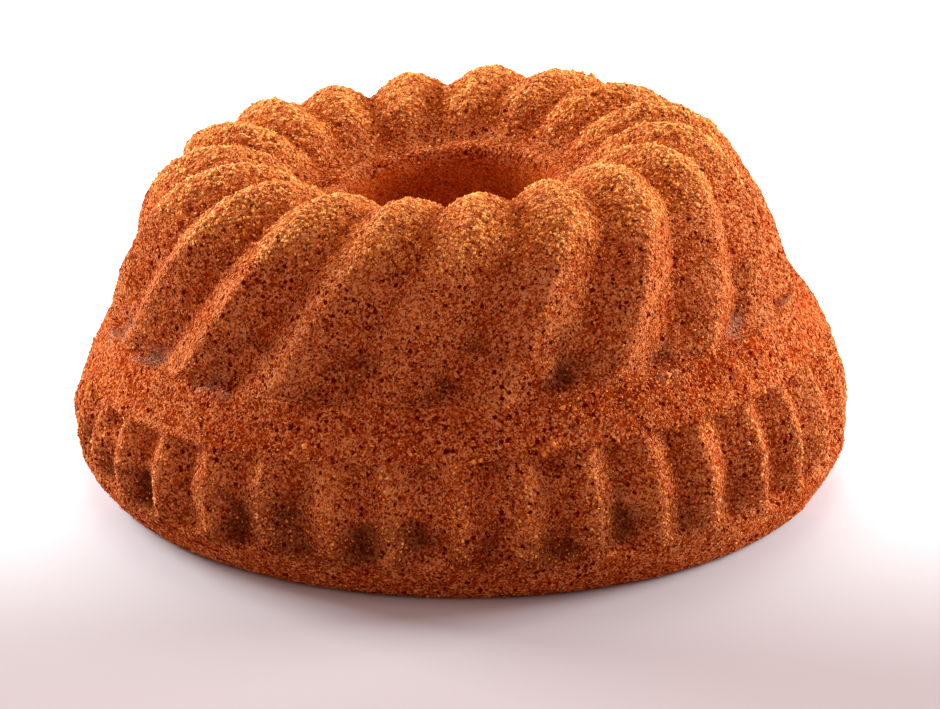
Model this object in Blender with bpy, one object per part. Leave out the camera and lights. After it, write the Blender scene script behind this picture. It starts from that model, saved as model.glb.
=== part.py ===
"""A ring-shaped bundt cake, turned out of its tin and standing on its level cut base.

The cake is one closed solid. A turned outline gives the surface that the crests of the relief reach.
Roof-shaped ridges swirl from the hole's neck down to a ledge, upright flutes ring the side below a
smooth band, and a plain rim rounds in to the base. The crumb has settled to one side, so everything
above the base leans towards -X. Sizes are in millimetres, +Z is up and angle 0 is the front, at -Y.
"""

import math
from collections import namedtuple

import bpy

MM = 0.001

# The tin's pattern.
RIDGES = 18
FLUTES = 36
COLUMNS_PER_FLUTE = 6
COLUMNS = FLUTES * COLUMNS_PER_FLUTE

# The ridges turn by this much between the ledge and the crown, anticlockwise going up.
RIDGE_TURN = math.radians(20.8)
# Angle of one ridge's crest where it meets the ledge, in whole columns so that crests stay sharp.
RIDGE_START = 5 * math.tau / COLUMNS

# How deep the valleys are cut below the crests.
FLUTE_DEPTH = 4.2
RIDGE_DEPTH_LOW = 5.7
RIDGE_DEPTH_MIDDLE = 6.4
RIDGE_DEPTH_HIGH = 5.8
RIDGE_DEPTH_CROWN = 4.8
RIDGE_DEPTH_NOSE = 3.4
# 0 gives a round wave and 1 a sharp roof.
ROOF_SHARPNESS = 0.9

# The settled lean: the body's slope, the side it sinks to, and how far the crown has moved to -X. The
# crumb nearer to the axis than TUBE_REACH moved less, as the tin's tube held it.
LEAN = math.radians(4.0)
LEAN_SIDE = math.radians(-122.0)
CROWN_SHIFT = 6.9
TUBE_REACH = 56.0

# Outline of the crests, from the base's outer edge over the crown and down the hole.
BASE_RADIUS = 110.5
SIDE_RADIUS = 120.0
RIM_HEIGHT = 13.4
FLUTE_TOP_HEIGHT = 40.7
LEDGE_HEIGHT = 56.8
CROWN_HEIGHT = 109.1
CROWN_RADIUS = 69.4
NOSE_RADIUS = 53.4
NOSE_HEIGHT = 105.3
SHELF_RADIUS = 42.5
SHELF_HEIGHT = 95.2
NECK_RADIUS = 32.3
NECK_HEIGHT = 94.0
HOLE_RADIUS = 26.0
STEP = 2.5

# ridge and flute are the valley depths there, turn is the share of RIDGE_TURN reached, and steps is
# the number of mesh rings on the way to the next station.
Station = namedtuple("Station", "radius height ridge flute turn steps")

OUTLINE = (
    Station(BASE_RADIUS, 0.0, 0.0, 0.0, 0.0, 2),
    Station(119.0, RIM_HEIGHT - STEP / 2, 0.0, 0.0, 0.0, 1),
    Station(119.6, RIM_HEIGHT + STEP / 2, 0.0, FLUTE_DEPTH, 0.0, 2),
    Station(SIDE_RADIUS, 27.5, 0.0, FLUTE_DEPTH, 0.0, 1),
    Station(115.3, FLUTE_TOP_HEIGHT - STEP / 2, 0.0, FLUTE_DEPTH, 0.0, 1),
    Station(114.3, FLUTE_TOP_HEIGHT + STEP / 2, 0.0, 0.0, 0.0, 1),
    Station(106.5, LEDGE_HEIGHT - STEP / 2, 0.0, 0.0, 0.0, 1),
    Station(105.5, LEDGE_HEIGHT + STEP / 2, RIDGE_DEPTH_LOW, 0.0, 0.02, 2),
    Station(98.0, 82.5, RIDGE_DEPTH_MIDDLE, 0.0, 0.48, 2),
    Station(86.1, 101.5, RIDGE_DEPTH_HIGH, 0.0, 0.85, 2),
    Station(CROWN_RADIUS, CROWN_HEIGHT, RIDGE_DEPTH_CROWN, 0.0, 1.0, 1),
    Station(NOSE_RADIUS, NOSE_HEIGHT, RIDGE_DEPTH_NOSE, 0.0, 1.12, 1),
    Station(SHELF_RADIUS, SHELF_HEIGHT, RIDGE_DEPTH_NOSE / 4, 0.0, 1.3, 1),
    Station(NECK_RADIUS, NECK_HEIGHT, 0.0, 0.0, 1.35, 1),
    Station(29.0, 70.0, 0.0, 0.0, 1.35, 1),
    Station(HOLE_RADIUS, 0.0, 0.0, 0.0, 1.35, 0),
)

CRUST_COLOUR = (0.47, 0.14, 0.03, 1.0)
CRUST_ROUGHNESS = 0.8


def clear_scene():
    for obj in list(bpy.data.objects):
        bpy.data.objects.remove(obj)


def curve_value(before, start, end, after, t):
    """A Catmull-Rom curve's value at t from start (0) to end (1)."""
    slope_start = (end - before) / 2
    slope_end = (after - start) / 2
    rise = end - start
    return (
        start
        + slope_start * t
        + (3 * rise - 2 * slope_start - slope_end) * t**2
        + (slope_start + slope_end - 2 * rise) * t**3
    )


def outline_rings():
    """The outline as one Station for each mesh ring, on a smooth curve through OUTLINE."""
    last = len(OUTLINE) - 1
    rings = []
    for index in range(last):
        start, end = OUTLINE[index], OUTLINE[index + 1]
        before = OUTLINE[max(index - 1, 0)]
        after = OUTLINE[min(index + 2, last)]
        for step in range(start.steps):
            t = step / start.steps
            smooth = [curve_value(*values, t) for values in zip(before[:2], start[:2], end[:2], after[:2])]
            linear = [low + (high - low) * t for low, high in zip(start[2:], end[2:])]
            rings.append(Station(*smooth, *linear))
    rings.append(OUTLINE[last])
    return rings


def outward_normals(rings):
    """The outline's outward direction at each ring, as (radial, vertical)."""
    normals = []
    for index in range(len(rings)):
        before = rings[max(index - 1, 0)]
        after = rings[min(index + 1, len(rings) - 1)]
        along_r = after.radius - before.radius
        along_z = after.height - before.height
        length = math.hypot(along_r, along_z)
        normals.append((along_z / length, -along_r / length))
    return normals


def roof(angle):
    """A roof-shaped wave of the angle: 0 on its crest and 1 in its valley, with both slightly rounded."""
    flat = math.acos(ROOF_SHARPNESS)
    return (math.acos(ROOF_SHARPNESS * math.cos(angle)) - flat) / (math.pi - 2 * flat)


def settle(x, y, z):
    """The point after the crumb has settled: the base stays level and the body leans to LEAN_SIDE."""
    share = min(z / FLUTE_TOP_HEIGHT, 1.0)
    share = share * share * (3 - 2 * share)
    towards_side = x * math.sin(LEAN_SIDE) - y * math.cos(LEAN_SIDE)
    sink = towards_side * math.tan(LEAN) * share
    held = min(math.hypot(x, y) / TUBE_REACH, 1.0)
    shift = CROWN_SHIFT * share * held * z / CROWN_HEIGHT
    return x - shift, y, z - sink


def cake_points():
    """All rings of the cake, from the base's outer edge to its hole, COLUMNS points in each."""
    rings = outline_rings()
    points = []
    for ring, (radial, vertical) in zip(rings, outward_normals(rings)):
        turn = ring.turn * RIDGE_TURN
        for column in range(COLUMNS):
            angle = column * math.tau / COLUMNS
            depth = ring.flute * roof(angle * FLUTES)
            depth += ring.ridge * roof((angle - RIDGE_START) * RIDGES)
            radius = ring.radius - radial * depth
            height = ring.height - vertical * depth
            x = radius * math.sin(angle + turn)
            y = -radius * math.cos(angle + turn)
            points.append(settle(x, y, height))
    return points


def centred(points):
    """The points in metres, moved so that the middle of their footprint is the origin."""
    middle = [(min(p[axis] for p in points) + max(p[axis] for p in points)) / 2 for axis in (0, 1)]
    return [((x - middle[0]) * MM, (y - middle[1]) * MM, z * MM) for x, y, z in points]


def ring_faces(ring_count):
    """Quads between neighbouring rings. The last ring joins the first across the flat base."""
    faces = []
    for ring in range(ring_count):
        above = (ring + 1) % ring_count
        for column in range(COLUMNS):
            beside = (column + 1) % COLUMNS
            faces.append(
                (
                    ring * COLUMNS + column,
                    ring * COLUMNS + beside,
                    above * COLUMNS + beside,
                    above * COLUMNS + column,
                )
            )
    return faces


def crust_material():
    material = bpy.data.materials.new("crust")
    material.use_nodes = True
    shader = material.node_tree.nodes["Principled BSDF"]
    shader.inputs["Base Color"].default_value = CRUST_COLOUR
    shader.inputs["Roughness"].default_value = CRUST_ROUGHNESS
    shader.inputs["Metallic"].default_value = 0.0
    return material


def build_cake():
    points = centred(cake_points())
    mesh = bpy.data.meshes.new("cake")
    mesh.from_pydata(points, [], ring_faces(len(points) // COLUMNS))
    mesh.shade_smooth()
    mesh.set_sharp_from_angle(angle=math.radians(60))
    mesh.materials.append(crust_material())
    cake = bpy.data.objects.new("cake", mesh)
    bpy.context.scene.collection.objects.link(cake)


clear_scene()
build_cake()
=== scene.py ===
"""The bundt cake's looks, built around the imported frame.

The crust is one fine closed mesh on the frame's own outline: swirling ridges, flutes, ledge, rim and
hole, with the unevenness of a real cake. Loose crumbs are joined meshes scattered over it. Lengths
are millimetres of the cake until a mesh is written, then metres in the frame's own coordinates.
Angle 0 is the front, at -Y, and angles grow anticlockwise as seen from above.
"""

import math
from collections import namedtuple

import bpy
import numpy as np
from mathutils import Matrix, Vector, noise


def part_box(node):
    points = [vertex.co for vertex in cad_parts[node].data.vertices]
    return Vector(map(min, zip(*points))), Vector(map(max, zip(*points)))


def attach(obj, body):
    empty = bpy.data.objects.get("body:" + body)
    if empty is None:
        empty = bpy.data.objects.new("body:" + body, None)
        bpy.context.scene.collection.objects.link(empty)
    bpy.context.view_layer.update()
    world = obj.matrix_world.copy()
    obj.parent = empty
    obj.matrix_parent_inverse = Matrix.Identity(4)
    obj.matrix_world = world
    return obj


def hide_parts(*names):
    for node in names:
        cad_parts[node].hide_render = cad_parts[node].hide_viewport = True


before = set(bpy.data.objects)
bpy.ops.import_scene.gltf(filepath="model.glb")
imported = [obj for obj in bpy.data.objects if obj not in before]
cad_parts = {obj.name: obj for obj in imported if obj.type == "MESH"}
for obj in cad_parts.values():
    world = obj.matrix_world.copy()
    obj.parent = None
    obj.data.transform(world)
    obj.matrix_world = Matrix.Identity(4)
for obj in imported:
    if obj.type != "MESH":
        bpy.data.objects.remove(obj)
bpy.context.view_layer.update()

# ---------------------------------------------------------------- sizes, in millimetres of the cake
CAKE_LOW, CAKE_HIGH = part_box("cake")
CAKE_MIDDLE = (CAKE_LOW + CAKE_HIGH) / 2
SIDE_DIAMETER = 240.0
# Metres of the frame in one millimetre here.
METRES = (CAKE_HIGH.y - CAKE_LOW.y) / SIDE_DIAMETER
SEED = 18

# The tin's pattern. The ridges turn by RIDGE_TURN between the ledge and the crown.
RIDGES = 18
RIDGE_TURN = math.radians(21.6)
RIDGE_START = math.radians(7.5)
RIDGE_SHARPNESS = 0.975
FLUTES = 36
FLUTE_SHARPNESS = 0.95
FLUTE_DEPTH = 5.2
# A ridge less deep than this has no clear crest.
CLEAR_RIDGE = 3.0
# Between these heights the ridges blend by LOBE_SHARE into round lobes.
LOBES_LOW = 84.0
LOBES_HIGH = 104.0
LOBE_SHARE = 0.45

# How single ridges and flutes differ: the spread of their depth, their sideways drift, and how far a
# ridge swells out once it is SWELL_HEIGHT above the ledge.
RIDGE_SPREAD = 0.05
RIDGE_DRIFT = math.radians(0.45)
RIDGE_SWELL = 0.4
SWELL_HEIGHT = 40.0
FLUTE_SPREAD = 0.14
FLUTE_DRIFT = math.radians(0.35)

# The crumb's unevenness, as layers of noise: the size of the lumps and how far they stand out.
BROAD_LUMPS = ((24.0, 0.7), (8.0, 0.35))
CLUMPS = ((3.4, 0.34), (2.0, 0.32))
# How much higher the clumps stand on the torn patch and on the crown.
TORN_CLUMPS = 1.2
CROWN_CLUMPS = 1.0
# The crust becomes fully uneven at this height, so that the base stays flat.
UNEVEN_HEIGHT = 3.0

# The crumb has settled to LEAN_SIDE, and the crown has moved to -X. The crumb nearer to the axis than
# TUBE_REACH moved less, as the tin's tube held it.
LEAN = math.radians(4.0)
LEAN_SIDE = math.radians(-122.0)
CROWN_SHIFT = 6.9
TUBE_REACH = 56.0

# Heights of the outline. STEP is the height of the small steps at the rim, flute tops and ledge.
RIM_HEIGHT = 13.4
FLUTE_TOP_HEIGHT = 40.7
LEDGE_HEIGHT = 56.8
CROWN_HEIGHT = 109.1
STEP = 1.8
# The outer side is all that lies outside this radius: the shelf and the hole lie well inside it.
OUTSIDE_RADIUS = 60.0
# The crown's crumb sets in between these heights and these radii, and the hole's between its own radii.
CROWN_HEIGHTS = (90.0, 104.0)
CROWN_RADII = (31.0, 35.0)
HOLE_RADII = (30.8, 32.6)
# How far from the flutes' tops the crumb still breaks off in larger pieces.
EDGE_WIDTH = 2.8

# The patch of the band where the crumb tore as the cake left the tin.
TORN_SIDE = math.radians(42.0)
TORN_REACH = math.radians(30.0)
TORN_HEIGHT = 53.0
TORN_WIDTH = 6.0

# radius, height, ridge depth, flute depth and share of the ridges' turn at each station of the outline
OUTLINE = np.array(
    [
        (109.6, 0.0, 0.0, 0.0, 0.0),
        (112.9, 2.2, 0.0, 0.0, 0.0),
        (119.1, RIM_HEIGHT - STEP, 0.0, 0.0, 0.0),
        (119.7, RIM_HEIGHT + STEP, 0.0, FLUTE_DEPTH, 0.0),
        (120.0, 27.5, 0.0, FLUTE_DEPTH, 0.0),
        (115.2, FLUTE_TOP_HEIGHT - STEP / 2, 0.0, FLUTE_DEPTH, 0.0),
        (114.5, FLUTE_TOP_HEIGHT + STEP / 2, 0.0, 0.0, 0.0),
        (106.2, LEDGE_HEIGHT - STEP / 2, 0.0, 0.0, 0.0),
        (105.4, LEDGE_HEIGHT + STEP / 2, 5.9, 0.0, 0.02),
        (98.0, 82.5, 6.5, 0.0, 0.48),
        (86.1, 101.5, 6.0, 0.0, 0.85),
        (69.4, CROWN_HEIGHT, 4.9, 0.0, 1.0),
        (53.4, 105.3, 3.6, 0.0, 1.12),
        (42.5, 95.2, 1.2, 0.0, 1.3),
        (36.5, 94.9, 0.4, 0.0, 1.34),
        (32.3, 93.0, 0.0, 0.0, 1.35),
        (30.2, 80.0, 0.0, 0.0, 1.35),
        (26.0, 0.0, 0.0, 0.0, 1.35),
    ]
)

# The crust's mesh. From the hole's neck down, its rings stand 1 / HOLE_DETAIL times as far apart.
COLUMNS = RIDGES * 32
RING_SPACING = 1.22
CURVE_SAMPLES = 40
NECK_STATION = 15
HOLE_DETAIL = 0.25


# ---------------------------------------------------------------- the crust's surface
def catmull_rom(points):
    """Dense points on a smooth curve through the given ones, CURVE_SAMPLES on each stretch."""
    padded = np.vstack([points[:1], points, points[-1:]])
    t = np.linspace(0, 1, CURVE_SAMPLES, endpoint=False)[:, None]
    stretches = []
    for index in range(len(points) - 1):
        before, start, end, after = padded[index : index + 4]
        slope_start = (end - before) / 2
        slope_end = (after - start) / 2
        rise = end - start
        stretches.append(
            start
            + slope_start * t
            + (3 * rise - 2 * slope_start - slope_end) * t**2
            + (slope_start + slope_end - 2 * rise) * t**3
        )
    return np.vstack([*stretches, points[-1:]])


def outline_rings():
    """The outline at an even spacing, wider down the hole: OUTLINE's five values for each ring."""
    curve = catmull_rom(OUTLINE[:, :2])
    station = np.arange(len(curve)) / CURVE_SAMPLES
    rest = [np.interp(station, np.arange(len(OUTLINE)), column) for column in OUTLINE[:, 2:].T]
    table = np.column_stack([curve, *rest])
    steps = np.hypot(*np.diff(curve, axis=0).T)
    steps[NECK_STATION * CURVE_SAMPLES :] *= HOLE_DETAIL
    length = np.concatenate([[0], np.cumsum(steps)])
    even = np.linspace(0, length[-1], int(length[-1] / RING_SPACING))
    return np.column_stack([np.interp(even, length, column) for column in table.T])


def outline_normals(rings):
    """The outline's outward direction at each ring, as radial and vertical columns."""
    along = np.gradient(rings[:, :2], axis=0)
    along /= np.linalg.norm(along, axis=1)[:, None]
    return along[:, 1][:, None], -along[:, 0][:, None]


def roof(angle, sharpness):
    """A wave, 0 on its crest and 1 in its valley: round at sharpness 0 and a roof near 1."""
    flat = np.arccos(sharpness)
    return (np.arccos(sharpness * np.cos(angle)) - flat) / (math.pi - 2 * flat)


def lobe(angle):
    """A wave with round crests at 0 and narrow notches at 1."""
    return 1 - np.abs(np.cos(angle / 2))


def smooth_between(values, low, high):
    """0 where a value is below low, 1 above high and a smooth step between."""
    share = np.clip((values - low) / (high - low), 0, 1)
    return share * share * (3 - 2 * share)


def hump(values, middle, width):
    """1 where a value is at the middle, falling away smoothly over the width."""
    return np.exp(-(((values - middle) / width) ** 2))


def around_values(count, spread, random):
    """A smooth random value for every column, drawn once for each of count ridges or flutes."""
    drawn = random.normal(0, spread, count)
    place = np.arange(COLUMNS) * count / COLUMNS
    left = np.floor(place).astype(int)
    share = smooth_between(place - left, 0, 1)
    return drawn[left % count] * (1 - share) + drawn[(left + 1) % count] * share


def layered_noise(points, layers):
    """Noise at each point: the sum of layers, each with a size in millimetres and a strength."""
    values = np.empty(len(points))
    for index, point in enumerate(points.tolist()):
        place = Vector(point)
        values[index] = sum(strength * noise.noise(place / size) for size, strength in layers)
    return values


def settle(x, y, z):
    """The point after the crumb has settled: the base stays level and the body leans to LEAN_SIDE."""
    share = smooth_between(z, 0, FLUTE_TOP_HEIGHT)
    towards_side = x * math.sin(LEAN_SIDE) - y * math.cos(LEAN_SIDE)
    sink = towards_side * math.tan(LEAN) * share
    held = np.clip(np.hypot(x, y) / TUBE_REACH, 0, 1)
    shift = CROWN_SHIFT * share * z / CROWN_HEIGHT * held
    return np.stack([x - shift, y, z - sink], -1)


def grid_normals(points):
    """Outward unit normals of a closed grid of points, shape (rings, columns, 3)."""
    along = np.roll(points, -1, axis=0) - np.roll(points, 1, axis=0)
    along[0] = points[1] - points[0]
    along[-1] = points[-1] - points[-2]
    around = np.roll(points, -1, axis=1) - np.roll(points, 1, axis=1)
    normals = np.cross(around, along)
    return normals / np.linalg.norm(normals, axis=2)[..., None]


def uneven(points, free, rough):
    """The grid of points, moved along its normals by the lumps. free scales all, rough the clumps."""
    flat = points.reshape(-1, 3)
    normals = grid_normals(points).reshape(-1, 3)
    lift = layered_noise(flat, BROAD_LUMPS) + layered_noise(flat, CLUMPS) * rough.reshape(-1)
    return (flat + normals * (lift * free.reshape(-1))[:, None]).reshape(points.shape)


def column_angles():
    """The angle of each of the mesh's columns, as one row."""
    return (np.arange(COLUMNS) * math.tau / COLUMNS)[None, :]


def relief(rings):
    """The ridges' wave, the flutes' wave and how deep the surface lies below the outline."""
    random = np.random.default_rng(SEED)
    height, ridge_depth, flute_depth = rings[:, 1:4].T[:, :, None]
    angle = column_angles()
    ridge_scale = 1 + around_values(RIDGES, RIDGE_SPREAD, random)
    ridge_drift = around_values(RIDGES, RIDGE_DRIFT, random)
    flute_scale = 1 + around_values(FLUTES, FLUTE_SPREAD, random)
    flute_drift = around_values(FLUTES, FLUTE_DRIFT, random)
    swell = around_values(RIDGES, RIDGE_SWELL, random)

    ridge_angle = (angle - RIDGE_START - ridge_drift) * RIDGES
    lobes = smooth_between(height, LOBES_LOW, LOBES_HIGH) * LOBE_SHARE
    ridge_wave = roof(ridge_angle, RIDGE_SHARPNESS) * (1 - lobes) + lobe(ridge_angle) * lobes
    flute_wave = roof((angle - flute_drift) * FLUTES, FLUTE_SHARPNESS)
    depth = ridge_depth * ridge_wave * ridge_scale + flute_depth * flute_wave * flute_scale
    swollen = np.clip((height - LEDGE_HEIGHT) / SWELL_HEIGHT, 0, 1)
    return ridge_wave, flute_wave, depth - swell * swollen * (ridge_depth > 0)


def surface_looks(rings, ridge_wave, flute_wave):
    """Where the crust's features are, from 0 to 1, and each point's height on the outline."""
    radius, height, ridge_depth, flute_depth, _ = rings.T[:, :, None]
    outside = radius > OUTSIDE_RADIUS
    torn = smooth_between(np.cos(column_angles() - TORN_SIDE), math.cos(TORN_REACH), 1.0)
    looks = {
        "torn": torn * hump(height, TORN_HEIGHT, TORN_WIDTH) * outside,
        "crown": smooth_between(height, *CROWN_HEIGHTS) * smooth_between(radius, *CROWN_RADII),
        "ridge_crest": (1 - ridge_wave) * np.clip(ridge_depth / CLEAR_RIDGE, 0, 1),
        "ridge_valley": smooth_between(ridge_wave, 0.45, 0.8),
        "flute_crest": (1 - flute_wave) * np.clip(flute_depth / FLUTE_DEPTH, 0, 1),
        "edge": hump(height, FLUTE_TOP_HEIGHT, EDGE_WIDTH) * flute_wave * outside,
        "inside": 1 - smooth_between(radius, *HOLE_RADII),
        "outside": outside,
        "height": height,
    }
    shape = (len(rings), COLUMNS)
    return {name: np.broadcast_to(values, shape) for name, values in looks.items()}


def cake_surface():
    """The crust in millimetres: points and looks, both with one row for each ring and column."""
    rings = outline_rings()
    ridge_wave, flute_wave, depth = relief(rings)
    radial, vertical = outline_normals(rings)
    radius = rings[:, 0][:, None] - radial * depth
    height = rings[:, 1][:, None] - vertical * depth
    around = column_angles() + rings[:, 4][:, None] * RIDGE_TURN
    points = settle(radius * np.sin(around), -radius * np.cos(around), height)
    looks = surface_looks(rings, ridge_wave, flute_wave)
    free = np.clip(height / UNEVEN_HEIGHT, 0, 1)
    rough = 1 + TORN_CLUMPS * looks["torn"] + CROWN_CLUMPS * looks["crown"]
    return uneven(points, free, rough), looks


# ---------------------------------------------------------------- patches on the crust
# A patch is a zone of heights, in millimetres, broken up into spots.
def spots(points, large, small, low, high):
    """Soft irregular spots: 1 where the noise at two sizes in millimetres is above high, 0 below low."""
    values = layered_noise(points.reshape(-1, 3), ((large, 1.0), (small, 0.5)))
    return smooth_between(values.reshape(points.shape[:2]), low, high)


def sideways(points):
    """-1 on the cake's left side, 0 in front and behind, 1 on its right side."""
    return points[..., 0] / np.hypot(points[..., 0], points[..., 1])


def flanks(points):
    """1 on the cake's left and right sides, 0 in front and behind."""
    return smooth_between(np.abs(sideways(points)), 0.4, 0.6)


def browned_feet_and_shaded_panels(points, looks):
    """Dark patches at the flutes' feet, where the crust browned, and darker panels in their hollows, partly
    browned and partly painted shade; fewer on the right side.
    """
    height = looks["height"]
    rise = 14 * (spots(points, 26.0, 9.0, -0.6, 0.6) - 0.5)
    feet = smooth_between(height, 8, 15) * (1 - smooth_between(height + rise, 18, 32))
    feet = feet * (1 - 0.5 * looks["flute_crest"]) * spots(points, 15.0, 3.0, -0.5, 0.2)
    # The panels darken the flutes' hollows: partly browning and partly painted shade.
    panels = smooth_between(height, 12, 18) * (1 - smooth_between(height, 30, FLUTE_TOP_HEIGHT))
    panels = panels * (1 - looks["flute_crest"]) ** 2 * spots(points, 30.0, 6.0, -0.2, 0.4)
    return (feet + 0.3 * panels) * (1 - 0.65 * smooth_between(sideways(points), 0.3, 0.8))


def baked_slope(points, looks):
    """Dark blotches in the ridges' valleys."""
    height = looks["height"]
    zone = smooth_between(height, LEDGE_HEIGHT, LEDGE_HEIGHT + 3) * (1 - smooth_between(height, 68, 84))
    return zone * (1 - looks["ridge_crest"]) * spots(points, 11.0, 4.0, 0.0, 0.6)


def baked_smudges(points, looks):
    """Dark smudges where a valley ends at the ledge, in front and behind."""
    near = hump(looks["height"], LEDGE_HEIGHT + 4, 5.0) * looks["ridge_valley"]
    return near * (1 - flanks(points)) * spots(points, 14.0, 4.0, -0.2, 0.3)


def browned_and_shaded_patches(points, looks):
    """Dark patches where the crust browned against the tin, with painted shade in the flutes' hollows."""
    slope = 0.7 * baked_slope(points, looks)
    smudges = 0.7 * baked_smudges(points, looks)
    return np.clip(browned_feet_and_shaded_panels(points, looks) + slope + smudges, 0, 1) * looks["outside"]


def floury_patches(points, looks):
    """Grey traces of flour where a valley ends at the ledge, on the flanks."""
    near = hump(looks["height"], LEDGE_HEIGHT + 1, 3.5) * looks["outside"]
    return near * looks["ridge_valley"] * flanks(points) * spots(points, 12.0, 3.0, -0.05, 0.35)


# ---------------------------------------------------------------- meshes
# The looks that crumbs are scattered by. The crust's material reads all of them but the edge.
SCATTER_LOOKS = ("ridge_crest", "flute_crest", "crown", "inside", "edge", "torn")


def to_metres(points):
    """Points in the frame: the cake's footprint is centred as the frame's box is."""
    flat = points.reshape(-1, 3)
    middle = (flat.min(0) + flat.max(0)) / 2
    moved = (flat - [middle[0], middle[1], 0.0]) * METRES
    return moved + [CAKE_MIDDLE.x, CAKE_MIDDLE.y, CAKE_LOW.z]


def mesh_object(name, points, faces):
    mesh = bpy.data.meshes.new(name)
    mesh.from_pydata(points.tolist(), [], faces.tolist())
    mesh.shade_smooth()
    obj = bpy.data.objects.new(name, mesh)
    bpy.context.scene.collection.objects.link(obj)
    return obj


def add_look(obj, name, values):
    attribute = obj.data.attributes.new(name, "FLOAT", "POINT")
    attribute.data.foreach_set("value", np.ascontiguousarray(values, np.float32).ravel())


def ring_faces(rings, columns):
    """Quads between neighbouring rings. The last ring joins the first across the flat base."""
    ring = np.arange(rings)[:, None]
    column = np.arange(columns)[None, :]
    above = (ring + 1) % rings
    beside = (column + 1) % columns
    corners = (
        ring * columns + column,
        ring * columns + beside,
        above * columns + beside,
        above * columns + column,
    )
    return np.stack([np.broadcast_to(corner, (rings, columns)) for corner in corners], -1).reshape(-1, 4)


def build_crust():
    points, looks = cake_surface()
    crust = mesh_object("crust", to_metres(points), ring_faces(*points.shape[:2]))
    for name in SCATTER_LOOKS:
        add_look(crust, name, looks[name])
    add_look(crust, "browned_and_shaded", browned_and_shaded_patches(points, looks))
    add_look(crust, "floury", floury_patches(points, looks))
    crust.data.materials.append(crust_material())
    return crust


# ---------------------------------------------------------------- materials
# Colours are linear, and the sizes of grains, pores and noise are millimetres.
# PORE_SHADE is painted shade: the dark of the pores' depths.
PORE_SHADE = (0.130, 0.0025, 0.0001, 1.0)
DARK_CRUMB = (0.29, 0.021, 0.001, 1.0)
BROWN_CRUMB = (0.49, 0.077, 0.013, 1.0)
ORANGE_CRUMB = (0.75, 0.230, 0.074, 1.0)
GOLDEN_CRUMB = (0.94, 0.465, 0.130, 1.0)
AMBER_CRUMB = (0.90, 0.285, 0.035, 1.0)
# This dark colour is both browned crust and painted shade in the flutes' hollows.
BROWNED_AND_SHADED_CRUMB = (0.075, 0.013, 0.003, 1.0)
FLOURY_CRUMB = (0.36, 0.185, 0.115, 1.0)
# HOLE_SHADE_CRUMB is painted shade and bounce light deep in the hole.
HOLE_SHADE_CRUMB = (0.60, 0.070, 0.002, 1.0)
GLINT_TINT = (1.0, 0.75, 0.50, 1.0)
GRAIN_SIZE = 0.64


class Graph:
    """A material's nodes. Most methods add nodes and return the socket that holds their result."""

    def __init__(self, name):
        self.material = bpy.data.materials.new(name)
        self.material.use_nodes = True
        self.tree = self.material.node_tree
        self.shader = self.tree.nodes["Principled BSDF"]

    def node(self, kind, inputs, **settings):
        """A new node, with its inputs fed from sockets or plain values."""
        made = self.tree.nodes.new(kind)
        for key, value in settings.items():
            setattr(made, key, value)
        for key, value in inputs.items():
            self.feed(made.inputs[key], value)
        return made

    def feed(self, socket, value):
        if isinstance(value, bpy.types.NodeSocket):
            self.tree.links.new(value, socket)
        else:
            socket.default_value = value

    def math(self, operation, a, b):
        return self.node("ShaderNodeMath", {0: a, 1: b}, operation=operation).outputs[0]

    def multiply(self, a, b):
        return self.math("MULTIPLY", a, b)

    def sum(self, *terms):
        """The sum of (value, weight) pairs."""
        total = 0.0
        for value, weight in terms:
            inputs = {0: value, 1: weight, 2: total}
            total = self.node("ShaderNodeMath", inputs, operation="MULTIPLY_ADD").outputs[0]
        return total

    def millimetres(self):
        place = self.node("ShaderNodeTexCoord", {}).outputs["Object"]
        return self.node("ShaderNodeVectorMath", {0: place, "Scale": 1000.0}, operation="SCALE").outputs[0]

    def look(self, name):
        """The mesh's own value of that name, as add_look stored it."""
        return self.node("ShaderNodeAttribute", {}, attribute_name=name).outputs["Fac"]

    def noise(self, place, size, detail=2.0, roughness=0.55):
        inputs = {"Vector": place, "Scale": 1.0 / size, "Detail": detail, "Roughness": roughness}
        return self.node("ShaderNodeTexNoise", inputs).outputs["Fac"]

    def wobbled(self, place, size, reach):
        """The place moved by up to reach millimetres, so that cells lose their straight edges."""
        inputs = {"Vector": place, "Scale": 1.0 / size, "Detail": 1.0}
        drift = self.node("ShaderNodeTexNoise", inputs).outputs["Color"]
        inputs = {0: drift, 1: (0.5, 0.5, 0.5)}
        centred = self.node("ShaderNodeVectorMath", inputs, operation="SUBTRACT").outputs[0]
        inputs = {0: centred, 1: (2 * reach, 2 * reach, 2 * reach), 2: place}
        return self.node("ShaderNodeVectorMath", inputs, operation="MULTIPLY_ADD").outputs[0]

    def cells(self, place, size):
        """Distance to the nearest cell's middle, and that cell's own red and green random values."""
        made = self.node("ShaderNodeTexVoronoi", {"Vector": place, "Scale": 1.0 / size})
        tint = self.node("ShaderNodeSeparateColor", {"Color": made.outputs["Color"]})
        return made.outputs["Distance"], tint.outputs[0], tint.outputs[1]

    def between(self, value, low, high, start=0.0, end=1.0):
        """A smooth step from start, where the value is low, to end, where it is high."""
        inputs = {"Value": value, "From Min": low, "From Max": high, "To Min": start, "To Max": end}
        return self.node("ShaderNodeMapRange", inputs, interpolation_type="SMOOTHSTEP").outputs[0]

    def mix(self, share, a, b):
        return self.node("ShaderNodeMix", {0: share, 6: a, 7: b}, data_type="RGBA").outputs[2]

    def pits(self, place, size, small, large):
        """Pits, 1 in their middle: one in each cell, mostly of a radius near small and seldom near large."""
        distance, chance, _ = self.cells(place, size)
        rare = self.math("POWER", chance, 2.5)
        radius = self.sum((rare, (large - small) / size), (small / size, 1.0))
        return self.between(self.math("DIVIDE", distance, radius), 1.0, 0.62)


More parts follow.
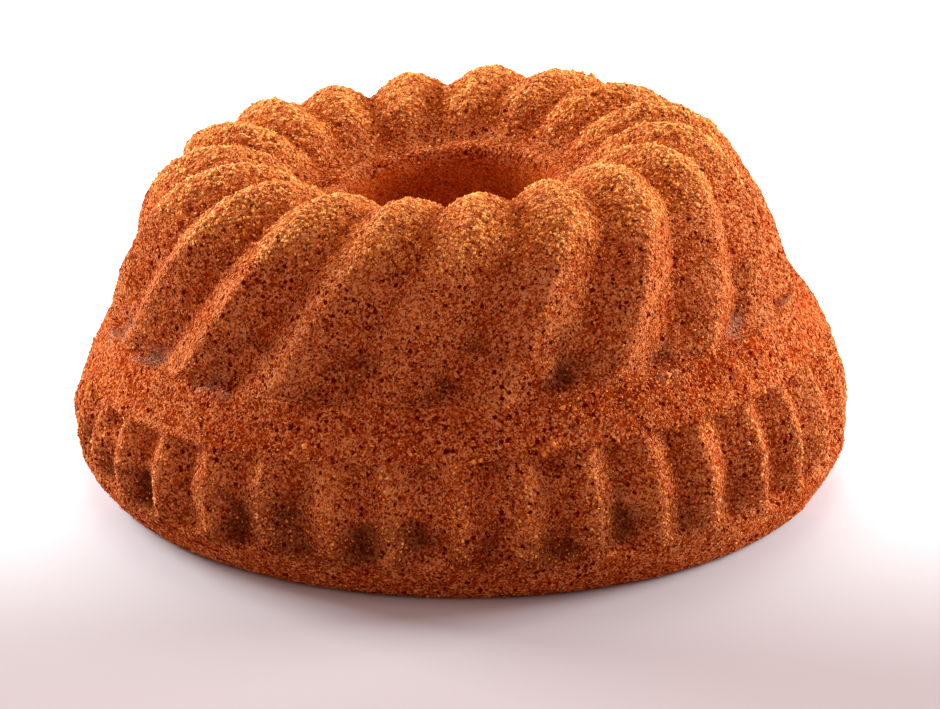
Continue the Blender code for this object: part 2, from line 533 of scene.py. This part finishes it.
def crust_pits(graph, loose, middle):
    """Large and small pores, shallower on the crown and down the hole."""
    large = graph.pits(loose, 2.1, small=0.3, large=1.0)
    small = graph.pits(loose, 1.0, small=0.2, large=0.62)
    small = graph.multiply(small, graph.between(middle, 0.35, 0.6, 0.4, 1.0))
    pits = graph.math("MAXIMUM", large, graph.multiply(small, 0.85))
    pits = graph.multiply(pits, graph.between(graph.look("crown"), 0.0, 1.0, 1.0, 0.85))
    return graph.multiply(pits, graph.between(graph.look("inside"), 0.0, 1.0, 1.0, 0.4))


def crumb_colour(graph, grain, grain_chance):
    """The clean crumb: darker and lighter grains, with amber and golden ones on the crests and crown; the
    crests' and lobes' tops' lightness is partly that crumb and partly painted highlight.
    """
    crest = graph.math("MAXIMUM", graph.look("ridge_crest"), graph.look("flute_crest"))
    crown = graph.look("crown")
    lobe_top = graph.multiply(crown, graph.look("ridge_crest"))
    torn = graph.look("torn")
    # Crests and lobe tops are lighter in tone and specks: partly golden crumb, partly painted highlight
    # where the light grazes them.
    tone = graph.sum((grain, 1.0), (crest, 0.2), (lobe_top, 0.25), (crown, -0.12), (torn, -0.2))
    colour = graph.mix(graph.between(tone, 1.26, 1.64), DARK_CRUMB, BROWN_CRUMB)
    colour = graph.mix(graph.between(tone, 1.64, 2.16), colour, ORANGE_CRUMB)
    colour = graph.mix(graph.multiply(crown, 0.10), colour, AMBER_CRUMB)
    speck = graph.sum((grain_chance, 1.0), (lobe_top, 0.14), (crest, 0.03))
    return graph.mix(graph.between(speck, 0.97, 1.10, 0.0, 0.8), colour, GOLDEN_CRUMB)


def patched_colour(graph, colour, fine):
    """The crumb's colour with its browned and floury patches, the painted shade in the flutes' hollows, and
    a deeper colour down the hole that is painted shade and bounce light.
    """
    browned_and_shaded = graph.multiply(graph.look("browned_and_shaded"), graph.between(fine, 0.3, 0.6, 0.7, 1.0))
    colour = graph.mix(graph.multiply(browned_and_shaded, 0.9), colour, BROWNED_AND_SHADED_CRUMB)
    colour = graph.mix(graph.multiply(graph.look("floury"), 0.6), colour, FLOURY_CRUMB)
    # Down the hole the colour deepens: painted shade and bounce light in the hole.
    return graph.mix(graph.multiply(graph.look("inside"), 0.6), colour, HOLE_SHADE_CRUMB)


def crust_material():
    graph = Graph("crust")
    place = graph.millimetres()
    loose = graph.wobbled(place, 0.8, reach=0.5)
    wide = graph.noise(place, 14.0)
    middle = graph.noise(place, 4.5)
    fine = graph.noise(place, 0.8, detail=3.0, roughness=0.7)
    grain_distance, _, grain_chance = graph.cells(loose, GRAIN_SIZE)
    grain = graph.sum((wide, 0.8), (middle, 0.6), (fine, 0.8), (grain_chance, 1.1))
    colour = patched_colour(graph, crumb_colour(graph, grain, grain_chance), fine)
    pits = crust_pits(graph, loose, middle)
    dome = graph.between(grain_distance, 0.7, 0.0)
    height = graph.sum((dome, 0.35), (fine, 0.8), (pits, -1.0))
    bump = graph.node("ShaderNodeBump", {"Height": height, "Distance": 0.001, "Strength": 1.0})
    # The pores are painted dark: painted shade inside them, on top of their real dents in the bump.
    graph.feed(graph.shader.inputs["Base Color"], graph.mix(pits, colour, PORE_SHADE))
    graph.feed(graph.shader.inputs["Normal"], bump.outputs[0])
    graph.shader.inputs["Specular IOR Level"].default_value = 0.0
    graph.shader.inputs["Roughness"].default_value = 0.9
    return graph.material


def crumb_material(name, dark, light):
    graph = Graph(name)
    tint = graph.noise(graph.millimetres(), 1.8, detail=1.0)
    colour = graph.mix(graph.between(tint, 0.35, 0.65), dark, light)
    graph.feed(graph.shader.inputs["Base Color"], colour)
    graph.shader.inputs["Roughness"].default_value = 0.5
    graph.shader.inputs["Specular IOR Level"].default_value = 0.12
    graph.shader.inputs["Specular Tint"].default_value = GLINT_TINT
    return graph.material


# ---------------------------------------------------------------- loose crumbs
# A crumb is an uneven octahedron, and SUNK is the share of its height that lies in the crust.
GRAIN_CORNERS = np.array([(1, 0, 0), (-1, 0, 0), (0, 1, 0), (0, -1, 0), (0, 0, 1), (0, 0, -1)], float)
GRAIN_FACES = np.array(
    [(0, 2, 4), (2, 1, 4), (1, 3, 4), (3, 0, 4), (2, 0, 5), (1, 2, 5), (3, 1, 5), (0, 3, 5)]
)
SUNK = 0.55
# No crumb lies on a face of the crust that reaches lower than this, in metres.
LOWEST_CRUMB = 0.0006


def mostly_crests(looks):
    """Brown crumbs lie everywhere but in the hole, and more on crests, edges and the torn patch."""
    return (1 - looks["inside"]) * (
        0.4 + looks["ridge_crest"] ** 3 + looks["flute_crest"] ** 2 + 0.5 * looks["edge"] + looks["torn"]
    )


def mostly_crown(looks):
    """Orange crumbs cover the crown and line the sharpest crests."""
    return (
        0.14 * (1 - looks["inside"])
        + 1.1 * looks["crown"]
        + 0.7 * looks["ridge_crest"] ** 5
        + 1.3 * looks["flute_crest"] ** 3
        + 0.7 * looks["edge"]
        + 0.5 * looks["torn"]
    )


def mostly_lobes(looks):
    """Golden crumbs lie on the tops of the crown's lobes and on a few flutes."""
    return (
        0.15 * looks["crown"]
        + 1.6 * looks["crown"] * looks["ridge_crest"] ** 3
        + 0.25 * looks["flute_crest"] ** 6
    )


def mostly_edges(looks):
    """Large crumbs hang on at the flutes' tops, the lobes and the torn patch."""
    return 0.7 * looks["edge"] + 0.9 * looks["crown"] * looks["ridge_crest"] ** 2 + 0.2 * looks["torn"]


# sizes are the smallest and largest diameter in millimetres, and where gives the chance on each face.
CrumbKind = namedtuple("CrumbKind", "name count sizes dark light where")

CRUMB_KINDS = (
    CrumbKind("crumbs_brown", 23000, (0.45, 0.95), DARK_CRUMB, ORANGE_CRUMB, mostly_crests),
    CrumbKind("crumbs_orange", 23000, (0.5, 1.15), BROWN_CRUMB, AMBER_CRUMB, mostly_crown),
    CrumbKind("crumbs_golden", 7000, (0.6, 1.45), AMBER_CRUMB, GOLDEN_CRUMB, mostly_lobes),
    CrumbKind("crumbs_large", 700, (1.2, 2.6), BROWN_CRUMB, AMBER_CRUMB, mostly_edges),
)


def random_turns(count, random):
    """Random rotation matrices, from unit quaternions."""
    quaternion = random.normal(size=(count, 4))
    w, x, y, z = (quaternion / np.linalg.norm(quaternion, axis=1)[:, None]).T
    rows = [
        [1 - 2 * (y * y + z * z), 2 * (x * y - w * z), 2 * (x * z + w * y)],
        [2 * (x * y + w * z), 1 - 2 * (x * x + z * z), 2 * (y * z - w * x)],
        [2 * (x * z - w * y), 2 * (y * z + w * x), 1 - 2 * (x * x + y * y)],
    ]
    return np.moveaxis(np.array(rows), 2, 0)


def crust_faces(crust):
    """Each triangle's corners, its normal with the length of twice its area, and its mean looks."""
    mesh = crust.data
    mesh.calc_loop_triangles()
    points = np.empty(len(mesh.vertices) * 3)
    mesh.vertices.foreach_get("co", points)
    triangles = np.empty(len(mesh.loop_triangles) * 3, int)
    mesh.loop_triangles.foreach_get("vertices", triangles)
    triangles = triangles.reshape(-1, 3)
    corners = points.reshape(-1, 3)[triangles]
    normals = np.cross(corners[:, 1] - corners[:, 0], corners[:, 2] - corners[:, 0])
    looks = {}
    for name in SCATTER_LOOKS:
        values = np.empty(len(mesh.vertices))
        mesh.attributes[name].data.foreach_get("value", values)
        looks[name] = values[triangles].mean(1)
    return corners, normals, looks


def scatter_places(crust, kind, random):
    """A random place on the crust and its outward direction for each crumb of the kind."""
    corners, normals, looks = crust_faces(crust)
    area = np.linalg.norm(normals, axis=1)
    above_floor = corners[:, :, 2].min(1) > LOWEST_CRUMB
    chance = area * kind.where(looks) * above_floor
    chosen = random.choice(len(corners), kind.count, p=chance / chance.sum())
    share = np.sort(random.random((kind.count, 2)), axis=1)
    weights = np.stack([share[:, 0], share[:, 1] - share[:, 0], 1 - share[:, 1]], 1)
    places = (corners[chosen] * weights[:, :, None]).sum(1)
    return places, normals[chosen] / area[chosen][:, None]


def scatter_crumbs(crust, kind, random):
    """One joined mesh of the kind's loose crumbs on the crust."""
    places, up = scatter_places(crust, kind, random)
    radius = random.uniform(*kind.sizes, kind.count) / 2 * METRES
    shape = GRAIN_CORNERS[None] * random.uniform(0.7, 1.3, (kind.count, 1, 3))
    shape = shape * random.uniform(0.8, 1.2, (kind.count, len(GRAIN_CORNERS), 1))
    shape = np.einsum("nij,nkj->nki", random_turns(kind.count, random), shape)
    raised = up * (radius * (1 - 2 * SUNK))[:, None]
    grains = places[:, None] + shape * radius[:, None, None] + raised[:, None]
    faces = GRAIN_FACES[None] + (np.arange(kind.count) * len(GRAIN_CORNERS))[:, None, None]
    crumbs = mesh_object(kind.name, grains.reshape(-1, 3), faces.reshape(-1, 3))
    crumbs.data.materials.append(crumb_material(kind.name, kind.dark, kind.light))
    return crumbs


# ---------------------------------------------------------------- stage, in metres
FLOOR_REACH = 8.0
# The floor's front colour is painted shade and its back colour painted light, blended by FLOOR_FADE.
FLOOR_FRONT = (0.435, 0.338, 0.328, 1.0)
FLOOR_BACK = (0.98, 0.96, 0.96, 1.0)
FLOOR_FADE = (-0.2, 0.1)

# Two soft lights behind the cake at its left and right, and a large weak one above the back.
Light = namedtuple("Light", "name place size power colour")
LIGHT_TARGET = (0, 0, 0.06)
LIGHTS = (
    Light("left_soft", (-0.82, 0.52, 0.40), (0.45, 0.45), 21.5, (0.83, 1, 1.10)),
    Light("right_soft", (0.95, 0.30, 0.34), (0.45, 0.45), 21, (0.83, 1, 1.10)),
    Light("back_top", (0.0, 0.6, 1.1), (0.9, 0.6), 7.8, (0.87, 1, 0.97)),
)
WORLD_COLOUR = (1, 0.81, 0.78, 1)
WORLD_STRENGTH = 0.74

CAMERA_DISTANCE = 2.5
CAMERA_PITCH = math.radians(20.6)
CAMERA_LENS = 307.4
CAMERA_SENSOR = 36.0
CAMERA_AIM = (0.00295, 0.0, 0.0368)


def floor_material():
    """Pale table paper, a little pink, painted darker at the front and paler behind the cake: painted shade
    in front and painted light behind.
    """
    graph = Graph("floor")
    place = graph.node("ShaderNodeTexCoord", {}).outputs["Object"]
    depth = graph.node("ShaderNodeSeparateXYZ", {"Vector": place}).outputs[1]
    colour = graph.mix(graph.between(depth, *FLOOR_FADE), FLOOR_FRONT, FLOOR_BACK)
    graph.feed(graph.shader.inputs["Base Color"], colour)
    graph.shader.inputs["Roughness"].default_value = 0.6
    graph.shader.inputs["Specular IOR Level"].default_value = 0.2
    return graph.material


def build_floor():
    corners = np.array([(-1, -1, 0), (1, -1, 0), (1, 1, 0), (-1, 1, 0)]) * FLOOR_REACH
    floor = mesh_object("floor", corners, np.array([(0, 1, 2, 3)]))
    floor.data.materials.append(floor_material())


def build_light(light):
    data = bpy.data.lights.new(light.name, "AREA")
    data.shape = "RECTANGLE"
    data.size, data.size_y = light.size
    data.energy = light.power
    data.color = light.colour
    lamp = bpy.data.objects.new(light.name, data)
    lamp.location = light.place
    lamp.rotation_euler = (Vector(LIGHT_TARGET) - Vector(light.place)).to_track_quat("-Z", "Y").to_euler()
    bpy.context.scene.collection.objects.link(lamp)


def build_lights():
    for light in LIGHTS:
        build_light(light)
    world = bpy.data.worlds.new("world")
    world.use_nodes = True
    background = world.node_tree.nodes["Background"]
    background.inputs["Color"].default_value = WORLD_COLOUR
    background.inputs["Strength"].default_value = WORLD_STRENGTH
    bpy.context.scene.world = world


def build_camera():
    data = bpy.data.cameras.new("camera")
    data.lens = CAMERA_LENS
    data.sensor_width = CAMERA_SENSOR
    camera = bpy.data.objects.new("camera", data)
    back = Vector((0, -math.cos(CAMERA_PITCH), math.sin(CAMERA_PITCH)))
    camera.location = Vector(CAMERA_AIM) + back * CAMERA_DISTANCE
    camera.rotation_euler = (-back).to_track_quat("-Z", "Y").to_euler()
    bpy.context.scene.collection.objects.link(camera)
    bpy.context.scene.camera = camera


# ---------------------------------------------------------------- the whole scene
def build_cake():
    """The crust stands for the plain solid, and each kind of crumb is one more piece on it."""
    crust = build_crust()
    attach(crust, "root")
    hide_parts("cake")
    for number, kind in enumerate(CRUMB_KINDS):
        crumbs = scatter_crumbs(crust, kind, np.random.default_rng(SEED + 1 + number))
        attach(crumbs, "root")


build_cake()
build_floor()
build_lights()
build_camera()
bpy.context.scene.view_settings.view_transform = "Standard"
